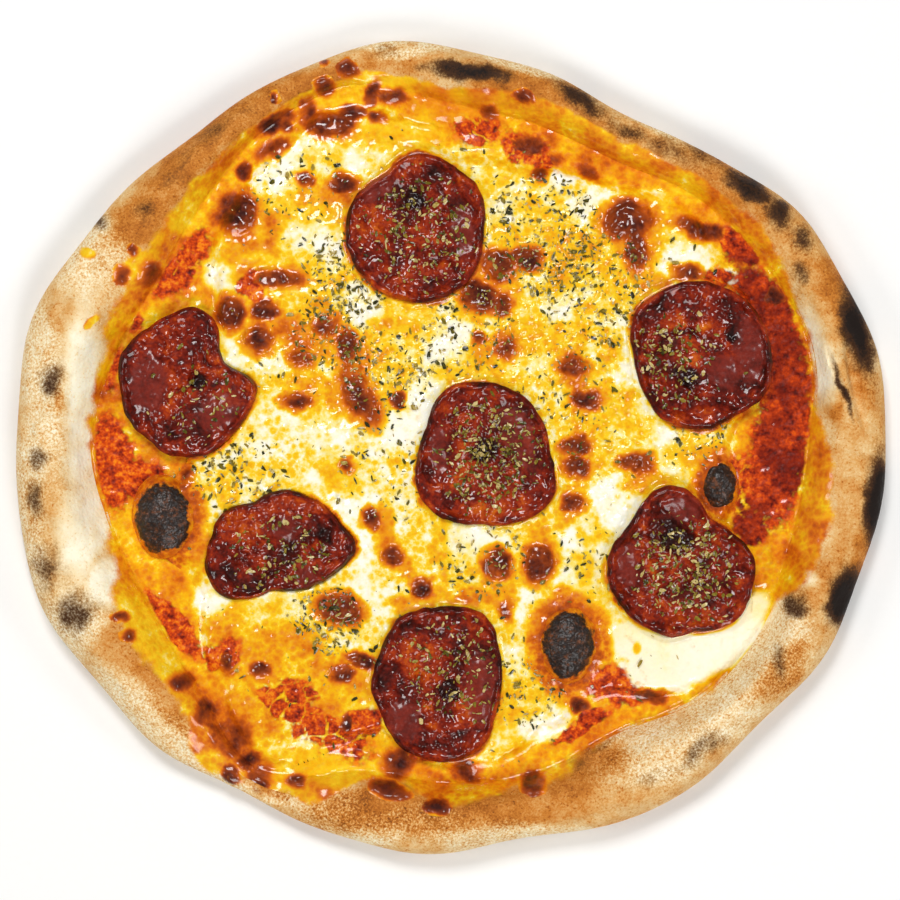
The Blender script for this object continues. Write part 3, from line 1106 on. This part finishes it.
# %% [markdown]
# The small flakes fell from a hand held above, so they lie in drifts. DRIFTS gives the
# middle, radius and share of each drift on the cheese, and one flake in six fell anywhere
# inside STREWN. On a slice they cluster too, because they stick where the fat was wet.
# Two longer flakes lie on the smooth pool of cheese.

# %% the fine flakes
FINE_FLAKES = 3000
STREWN = 114
ANYWHERE = 0.16
POOL_FLAKES = [(-1, 65, -74.6, 3.8, 0.2, 2.6), (-1, 78, -72.5, 2.4, 0.1, 0.4)]
DRIFTS = [
    (32, 73, 21, 3.6), (51, 54, 20, 2.6), (-35, 59, 15, 2.2), (-42, 40, 14, 1.5),
    (-21, 26, 16, 1.7), (6, 40, 16, 1.5), (37, 16, 20, 1.1), (-83, -8, 13, 1.1),
    (-70, -8, 14, 0.7), (-21, -8, 18, 0.9), (10, -37, 16, 1.1), (-42, -60, 12, 1.5),
    (26, -84, 13, 1.1), (86, 6, 10, 0.7), (51, -39, 12, 0.5), (-52, 86, 18, 0.8),
]
draw = series(57)
while len(flakes) < FINE_FLAKES:
    x, y = draw_place(draw, DRIFTS)
    if next(draw) < ANYWHERE:
        turn, radius = next(draw), STREWN * math.sqrt(next(draw))
        x, y = stepped(0, 0, radius, turn)
    inside = math.hypot(x, y) < solid_melt_radius(math.atan2(y, x) / TURN) + 2
    size, tilt = 0.7 + 2.8 * next(draw) ** 2, 0.9 * (next(draw) - 0.5)
    heading = TURN * next(draw)
    if inside and clear_of_others(x, y, -0.5):
        flakes.append((-1, x, y, size, tilt, heading))
for index, piece in enumerate(SLICES):
    hx, hy, spread = piece["drift"]
    for _ in range(piece["herb"]):
        turn, radius = next(draw), spread * (next(draw) + next(draw)) * 0.8
        x, y = stepped(piece["middle"][0] + hx, piece["middle"][1] + hy, radius, turn)
        size, tilt = 1.0 + 2.4 * next(draw) ** 1.3, 1.1 * (next(draw) - 0.5)
        heading = TURN * next(draw)
        if slice_share(piece, x, y) < 0.93:
            flakes.append((index, x, y, size, tilt, heading))
flakes += POOL_FLAKES
print(len(flakes), "flakes in all")

# %% the flakes as one mesh
CORNERS = 6
FAN = [(i, (i + 1) % CORNERS, CORNERS) for i in range(CORNERS)]
BACK = [((i + 1) % CORNERS, i, CORNERS + 1) for i in range(CORNERS)]


def ground_under(table):
    """The height of the cheese or slice under each flake."""
    ground = cheese_top(table[:, 1], table[:, 2])
    for index, piece in enumerate(SLICES):
        here = table[:, 0] == index
        x, y = table[here, 1], table[here, 2]
        ground[here] = slice_top(piece, x, y, slice_share(piece, x, y), slice_seed(index))
    return ground


def blades():
    table = np.array(flakes)
    rng = np.random.default_rng(5)
    home, x, y, length, tilt, heading = (column[:, None] for column in table.T)
    angle = TURN * (np.arange(CORNERS) + 0.5 * rng.random((len(table), CORNERS))) / CORNERS
    reach = 0.5 * (0.7 + 0.3 * rng.random((len(table), CORNERS)))
    slim = 0.22 + 0.36 * rng.random((len(table), 1))
    centre = np.zeros((len(table), 2))
    a = np.concatenate([slim * reach * np.cos(angle), centre], 1) * length
    b = np.concatenate([reach * np.sin(angle), centre], 1) * length
    curl, fold = 1.1 * rng.random((len(table), 1)), 1.1 * (rng.random((len(table), 1)) - 0.3)
    c = curl * b ** 2 / length + fold * np.abs(a)
    c = c + length * np.array([0] * CORNERS + [0.05, -0.05])
    b, c = b * np.cos(tilt) - c * np.sin(tilt), b * np.sin(tilt) + c * np.cos(tilt)
    points = np.stack([a * np.cos(heading) - b * np.sin(heading) + x,
                       a * np.sin(heading) + b * np.cos(heading) + y,
                       c + ground_under(table)[:, None] + 0.1], -1)
    faces = np.array(FAN + BACK)[None] + (CORNERS + 2) * np.arange(len(table))[:, None, None]
    kind = rng.random(len(table)) + np.where(home[:, 0] < 0, 0.3 - 0.14 * length[:, 0], 0.06)
    return points.reshape(-1, 3), faces.reshape(-1, 3).tolist(), np.repeat(kind, CORNERS + 2)


points, faces, kinds = blades()
herbs = make_piece("Dried_Herb_Flakes", points, faces, {"kind": kinds})
herbs.data.polygons.foreach_set("use_smooth", np.zeros(len(faces), dtype=bool))

# %% [markdown]
# ## Colours and nodes
# Colours are written as they look on a screen, in hex, and turned to the linear values
# that Blender's sockets take. `add` puts one node in a tree with its settings, values,
# links and, for a colour ramp, its stops. `speckled` adds fine grain to a number from the
# points, so that borders stay crisp however close one looks. GREASY_COAT is the film of
# fat on all that is wet, and LIT_INSIDE the light that scatters in starch and curd.

# %% helpers for materials
GREASY_COAT = {"Specular IOR Level": 0.1, "Coat Roughness": 0.1}
LIT_INSIDE = {"Subsurface Weight": 0.08, "Subsurface Scale": 1.2 * MM,
              "Subsurface Radius": (1.0, 0.7, 0.4)}


def linear(code):
    parts = [int(code[i:i + 2], 16) / 255 for i in (0, 2, 4)]
    return tuple(p / 12.92 if p <= 0.04045 else ((p + 0.055) / 1.055) ** 2.4 for p in parts) + (1,)


def add(tree, kind, inputs=None, stops=None, **settings):
    made = tree.nodes.new(kind)
    for name, value in settings.items():
        setattr(made, name, value)
    for socket, value in (inputs or {}).items():
        if isinstance(value, bpy.types.NodeSocket):
            tree.links.new(value, made.inputs[socket])
        else:
            made.inputs[socket].default_value = value
    for i, (place, code) in enumerate(stops or []):
        ramp = made.color_ramp.elements
        stop = ramp[0] if i == 0 else ramp[-1] if i == len(stops) - 1 else ramp.new(place)
        stop.position, stop.color = place, linear(code)
    return made


def new_material(name):
    made = bpy.data.materials.new(name)
    made.use_nodes = True
    tree = made.node_tree
    tree.nodes.clear()
    place = add(tree, "ShaderNodeTexCoord").outputs["Object"]
    return made, tree, place


def grain_of(tree, place, size_mm, detail=4.0, roughness=0.62):
    """A noise texture whose lumps are this many millimetres across."""
    return add(tree, "ShaderNodeTexNoise", {"Vector": place, "Scale": 1 / (size_mm * MM),
                                            "Detail": detail, "Roughness": roughness}).outputs["Fac"]


def number_at(tree, name):
    return add(tree, "ShaderNodeAttribute", attribute_name=name).outputs["Fac"]


def speckled(tree, value, grain, strength, mask=None):
    """value plus grain, where grain swings evenly to both sides, and less where mask is low."""
    swing = add(tree, "ShaderNodeMath", {0: grain, 1: 0.5}, operation="SUBTRACT").outputs[0]
    if mask is not None:
        swing = add(tree, "ShaderNodeMath", {0: swing, 1: mask}, operation="MULTIPLY").outputs[0]
    return add(tree, "ShaderNodeMath", {0: swing, 1: strength, 2: value},
               operation="MULTIPLY_ADD").outputs[0]


def cover(tree, below, above, share, low=0.35, high=0.65):
    """One colour over another where share passes from low to high.

    Sockets 6 and 7 and output 2 of the Mix node are the ones that carry colour.
    """
    share = add(tree, "ShaderNodeMapRange", {"Value": share, "From Min": low, "From Max": high},
                interpolation_type="SMOOTHSTEP").outputs[0]
    return add(tree, "ShaderNodeMix", {0: share, 6: below, 7: above}, data_type="RGBA").outputs[2]


def finish_surface(tree, place, colour, bump, surface):
    """Ends a material: bump lists the size and height of lumps in mm, finest last."""
    normal = None
    for size, height in bump:
        texture = grain_of(tree, place, size, 0.5)
        inputs = {"Height": texture, "Distance": height * MM, "Strength": 1.0}
        if normal is not None:
            inputs["Normal"] = normal
        normal = add(tree, "ShaderNodeBump", inputs).outputs["Normal"]
    shader = add(tree, "ShaderNodeBsdfPrincipled", {"Base Color": colour, "Normal": normal, **surface})
    add(tree, "ShaderNodeOutputMaterial", {"Surface": shader.outputs[0]})


def dress(pieces, material):
    for piece in pieces:
        piece.data.materials.append(material)
    print(material.name, "has", len(material.node_tree.nodes), "nodes")


print("white is", linear("FFFFFF"))

# %% [markdown]
# ## The colours of baked cheese and tomato
# BAKED runs with `baked`: fresh white, cream, yellow butterfat, amber, orange, chestnut and
# nearly black. TOMATO runs from dried brown-red to bright orange-red. Crust, sauce and
# cheese share both, so a stain goes on from one to the next. Pits about 3 mm apart, where
# butterfat gathers between the lumps of curd, are a shade further on than their rims. On
# cheese that stayed pale the grain stops at yellow, PALEST_LIMIT, so that no brown specks
# appear. Sauce that dried has finer and darker pulp.

# %% topping colours
CURD = 3.4
FINE_CURD = 1.3
PIT_SPACING = 3.0
PALEST_LIMIT = 0.26
LIMIT_ROOM = 0.12
BAKED = [(0.0, "FFFBEA"), (0.12, "FFF5D0"), (0.22, "FCE684"), (0.31, "F9CE1C"),
         (0.42, "F3B206"), (0.53, "EA920A"), (0.62, "D86C06"), (0.71, "B64E08"),
         (0.80, "943C0A"), (0.90, "6A250A"), (1.0, "3C120A")]
TOMATO = [(0.0, "560F05"), (0.15, "7E1D07"), (0.33, "A43009"), (0.5, "C8420A"), (0.65, "DE5A0A"),
          (0.85, "F08412")]


def topping_colour(tree, place):
    curd = grain_of(tree, place, CURD, 2.5)
    fine = grain_of(tree, place, FINE_CURD, 1.0)
    grainy = number_at(tree, "grainy")
    heat = speckled(tree, number_at(tree, "baked"), curd, 1.1, grainy)
    heat = speckled(tree, heat, fine, 0.4, grainy)
    holes = add(tree, "ShaderNodeTexVoronoi", {"Vector": place, "Scale": 1 / (PIT_SPACING * MM)})
    ragged = speckled(tree, holes.outputs["Distance"], curd, 1.2)
    deep = add(tree, "ShaderNodeMapRange",
               {"Value": ragged, "From Min": 0.45, "From Max": 0.15}).outputs[0]
    deep = add(tree, "ShaderNodeMath", {0: deep, 1: grainy}, operation="MULTIPLY").outputs[0]
    heat = add(tree, "ShaderNodeMath", {0: deep, 1: 0.3, 2: heat},
               operation="MULTIPLY_ADD").outputs[0]
    limit = number_at(tree, "baked")
    for operation, number in [("MAXIMUM", PALEST_LIMIT), ("ADD", LIMIT_ROOM)]:
        limit = add(tree, "ShaderNodeMath", {0: limit, 1: number}, operation=operation).outputs[0]
    heat = add(tree, "ShaderNodeMath", {0: heat, 1: limit, 2: LIMIT_ROOM},
               operation="SMOOTH_MIN").outputs[0]
    baked = add(tree, "ShaderNodeValToRGB", {"Fac": heat}, stops=BAKED).outputs["Color"]
    dried = number_at(tree, "dried")
    wet, pulp = (add(tree, "ShaderNodeMath", {0: dried, 1: slope, 2: start},
                     operation="MULTIPLY_ADD").outputs[0]
                 for slope, start in [(-0.6, 1.0), (-0.34, 0.5)])
    pulp = speckled(tree, speckled(tree, pulp, fine, 0.9, wet), curd, 2.0, wet)
    tomato = add(tree, "ShaderNodeValToRGB", {"Fac": pulp}, stops=TOMATO).outputs["Color"]
    bare = speckled(tree, number_at(tree, "red"), curd, 1.4)
    return cover(tree, baked, tomato, bare, 0.15, 0.7)


print(len(BAKED), "stages of baking")

# %% [markdown]
# ## Baked wheat dough
# A dry skin, IOR about 1.45, matt at a roughness of 0.65. Flour sits on it in grains under
# a millimetre, so the brown below shows through as speckles. DOUGH runs with `toast`,
# from flour to brown, and SOOT with `char`. Where the toppings ran over the rim, their
# colour covers the dough and a thin coat of fat makes it shine.

# %% crust material
MOTTLE = 6.0
FLOUR_GRAIN = 0.8
TOAST_SPECK = 1.0
DOUGH = [(0.0, "FFF6DA"), (0.12, "F8E3B8"), (0.26, "ECCA92"), (0.38, "DEA862"),
         (0.50, "CC8030"), (0.60, "B0641E"), (0.75, "7A4419")]
SOOT = [(0.2, "96602A"), (0.5, "55341A"), (0.85, "1F1612")]
dough, tree, place = new_material("Baked wheat dough")
mottle = grain_of(tree, place, MOTTLE, 5.0)
flour = grain_of(tree, place, FLOUR_GRAIN, 3.0, 0.7)
toast = speckled(tree, number_at(tree, "toast"), mottle, 0.35)
toast = speckled(tree, toast, flour, 1.3, number_at(tree, "dusty"))
specks = add(tree, "ShaderNodeMapRange",
             {"Value": grain_of(tree, place, TOAST_SPECK, 1.0),
              "From Min": 0.6, "From Max": 0.75, "To Max": 0.15}).outputs[0]
toast = add(tree, "ShaderNodeMath", {0: toast, 1: specks}, operation="ADD").outputs[0]
skin = add(tree, "ShaderNodeValToRGB", {"Fac": toast}, stops=DOUGH).outputs["Color"]
sooty = speckled(tree, number_at(tree, "char"), flour, 0.55)
sooty = speckled(tree, sooty, mottle, 0.5)
soot = add(tree, "ShaderNodeValToRGB", {"Fac": sooty}, stops=SOOT).outputs["Color"]
skin = cover(tree, skin, soot, sooty, 0.12, 0.62)
greasy = speckled(tree, number_at(tree, "grease"), mottle, 0.8)
greasy = speckled(tree, greasy, flour, 0.4)
tint = cover(tree, skin, topping_colour(tree, place), greasy, 0.2, 0.8)
wet = add(tree, "ShaderNodeMapRange",
          {"Value": greasy, "From Min": 0.3, "From Max": 0.7, "To Max": 0.6}).outputs[0]
finish_surface(tree, place, tint, [(6, 1.2), (1.3, 0.25)],
               {**LIT_INSIDE, "Roughness": 0.65, "IOR": 1.45, "Specular IOR Level": 0.15,
                "Coat Weight": wet, "Coat Roughness": 0.14})
dress([crust], dough)

# %% [markdown]
# ## Charred dough
# Burnt starch is nearly carbon: black with a brown cast, crumbly, and with a gleam of fat
# on its crests, IOR about 1.5 at a roughness of 0.38. Lower down the bubble is stained
# orange by oil and sauce.

# %% bubble material
CINDER_GRAIN = 1.3
CINDER = [(0.28, "6A3818"), (0.42, "3C2416"), (0.6, "1C120E"), (0.85, "46413F")]
cinder, tree, place = new_material("Charred dough")
soot = grain_of(tree, place, CINDER_GRAIN)
crumbs = speckled(tree, soot, grain_of(tree, place, CURD, 2.5), 0.8)
black = add(tree, "ShaderNodeValToRGB", {"Fac": crumbs}, stops=CINDER).outputs["Color"]
burnt = speckled(tree, number_at(tree, "burnt"), soot, 1.1)
tint = cover(tree, topping_colour(tree, place), black, burnt, 0.25, 0.7)
finish_surface(tree, place, tint, [(3, 0.5), (0.8, 0.25)],
               {"Roughness": 0.38, "IOR": 1.5, "Specular IOR Level": 0.4})
dress(bubbles, cinder)

# %% [markdown]
# ## Cooked tomato sauce
# Crushed tomato is wet, so it is glossy: the IOR of water and oil lies between 1.33 and
# 1.47, and its coat is smooth. It darkens to brown-red where it dried.

# %% sauce material
tomato, tree, place = new_material("Cooked tomato sauce")
finish_surface(tree, place, topping_colour(tree, place), [(3.2, 1.1), (1.3, 0.35)],
               {**GREASY_COAT, **LIT_INSIDE, "Roughness": 0.4, "IOR": 1.42, "Coat Weight": 0.6})
dress([sauce], tomato)

# %% [markdown]
# ## Melted mozzarella
# Milk fat and protein scatter light inside, so the cheese has a little light below its
# surface, and the oil on top, IOR about 1.45, makes it shine.

# %% cheese material
mozzarella, tree, place = new_material("Melted mozzarella")
finish_surface(tree, place, topping_colour(tree, place), [(3.4, 1.0), (1.4, 0.25)],
               {**GREASY_COAT, **LIT_INSIDE, "Roughness": 0.4, "IOR": 1.45, "Coat Weight": 0.7})
dress([cheese], mozzarella)

# %% [markdown]
# ## Baked salami
# Cured pork with paprika: deep red-brown, nearly black in its pits, orange where its
# coloured fat ran out. The film of fat, IOR about 1.47, gives sharp highlights on every
# wrinkle, so the coat's roughness is 0.05, and up to 0.2 where the meat stayed smooth and
# matt. The meat below is duller.

# %% salami material
MEAT = 4.0
CRUMB = 1.2
MATT_SKIN = "7C2A20"
CURED = [(0.0, "140302"), (0.2, "320803"), (0.36, "560F04"), (0.5, "7C1B06"),
         (0.64, "A23208"), (0.8, "C65806"), (1.0, "E68A1A")]
salami, tree, place = new_material("Baked salami")
meat = grain_of(tree, place, MEAT, 5.0)
crumb = grain_of(tree, place, CRUMB, 3.0)
cured = speckled(tree, number_at(tree, "cured"), meat, 0.9)
cured = speckled(tree, cured, crumb, 0.45)
tint = add(tree, "ShaderNodeValToRGB", {"Fac": cured}, stops=CURED).outputs["Color"]
matt = speckled(tree, number_at(tree, "matt"), meat, 0.8)
tint = cover(tree, tint, linear(MATT_SKIN), matt, 0.5, 1.4)
gloss = add(tree, "ShaderNodeMapRange", {"Value": matt, "To Min": 0.05, "To Max": 0.2}).outputs[0]
finish_surface(tree, place, tint, [(3.2, 1.3), (1.2, 0.4)],
               {**GREASY_COAT, "Roughness": 0.45, "IOR": 1.47, "Coat Weight": 0.5,
                "Coat Roughness": gloss})
dress(slices, salami)

# %% [markdown]
# ## Dried oregano
# Dry leaf goes from near black through olive to straw. Each flake has one number that
# picks its colour. The fat of the toppings has wetted it, so it glints at a roughness of
# 0.22.

# %% herb material
VEIN = 0.7
LEAF = [(0.0, "2E2C0E"), (0.25, "58500F"), (0.5, "7E6C1C"), (0.75, "A08634"), (1.0, "CEB878")]
oregano, tree, place = new_material("Dried oregano")
vein = grain_of(tree, place, VEIN, 2.0)
leaf = speckled(tree, number_at(tree, "kind"), vein, 0.8)
tint = add(tree, "ShaderNodeValToRGB", {"Fac": leaf}, stops=LEAF).outputs["Color"]
finish_surface(tree, place, tint, [(0.8, 0.1)],
               {"Roughness": 0.22, "IOR": 1.45, "Specular IOR Level": 0.6})
dress([herbs], oregano)

# %% [markdown]
# ## Tying the pieces to the model
# A pizza has no joints, so it has one body, root, and every piece rides on it. Each piece
# also says which solid it stands for and which kind of surface it has.

# %% bodies, solids and slots
TIES = ([(crust, ["crust"], "crust"), (sauce, ["tomato_sauce"], "sauce"),
         (cheese, ["mozzarella"], "cheese"), (herbs, [], "cheese")]
        + [(piece, ["crust"], "crust") for piece in bubbles]
        + [(piece, [f"pepperoni_{i + 1}"], "salami") for i, piece in enumerate(slices)])
for piece, nodes, slot in TIES:
    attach(piece, "root")
    if nodes:
        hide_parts(*nodes)
print(len(TIES), "pieces")

# %% [markdown]
# ## Floor and light
# One bright panel beyond the top of the view models the relief and gives the wet toppings
# their sparkle. Fainter ones on the other sides keep the shadows open. The sky straight
# above stays dim, so that its reflection doesn't turn the dark meat grey. Each panel is
# given the share of light it adds on a level surface. The shares add up to 1, so white
# shows as white and each colour nearly as it is written. From the share s, the distance d
# and the height h, the power in watts is s * pi * pi * d ** 3 / h, because the light falls
# off with d squared and slants by h / d.

# %% floor, panels and sky
FLOOR_REACH = 2000
FLOOR_LEVEL = -0.2
SKY_SHARE = 0.12
corners = [(FLOOR_REACH * sx, FLOOR_REACH * sy, FLOOR_LEVEL)
           for sx, sy in [(-1, -1), (1, -1), (1, 1), (-1, 1)]]
floor = make_piece("Studio_Floor", corners, [(0, 1, 2, 3)], {})
paint, tree, place = new_material("Matt pale floor paint")
brushed = grain_of(tree, place, 2.0)
tint = add(tree, "ShaderNodeMix", {0: brushed, 6: linear("F8F7F4"), 7: linear("FBFAF8")},
           data_type="RGBA").outputs[2]
finish_surface(tree, place, tint, [(2.0, 0.01)], {"Roughness": 0.9})
dress([floor], paint)

PANELS = [
    ("Window_Panel", (-150, 600, 1050), 330, 0.47),
    ("Low_Panel", (250, -850, 900), 420, 0.29),
    ("Left_Panel", (-950, -100, 800), 300, 0.12),
    ("Right_Panel", (950, 50, 800), 300, 0.12),
]
for name, where, size, share in PANELS:
    away = math.hypot(*where) * MM
    light = bpy.data.lights.new(name, "AREA")
    light.size = size * MM
    light.energy = share * math.pi ** 2 * away ** 3 / (where[2] * MM)
    lamp = bpy.data.objects.new(name, light)
    bpy.context.scene.collection.objects.link(lamp)
    lamp.location = [value * MM for value in where]
    lamp.rotation_euler = (-lamp.location).to_track_quat("-Z", "Y").to_euler()
    print(name, round(light.energy, 1), "W")

world = bpy.data.worlds.new("Soft_Sky")
world.use_nodes = True
sky = world.node_tree.nodes["Background"].inputs
sky["Color"].default_value = linear("FFFFFF")
sky["Strength"].default_value = SKY_SHARE
bpy.context.scene.world = world
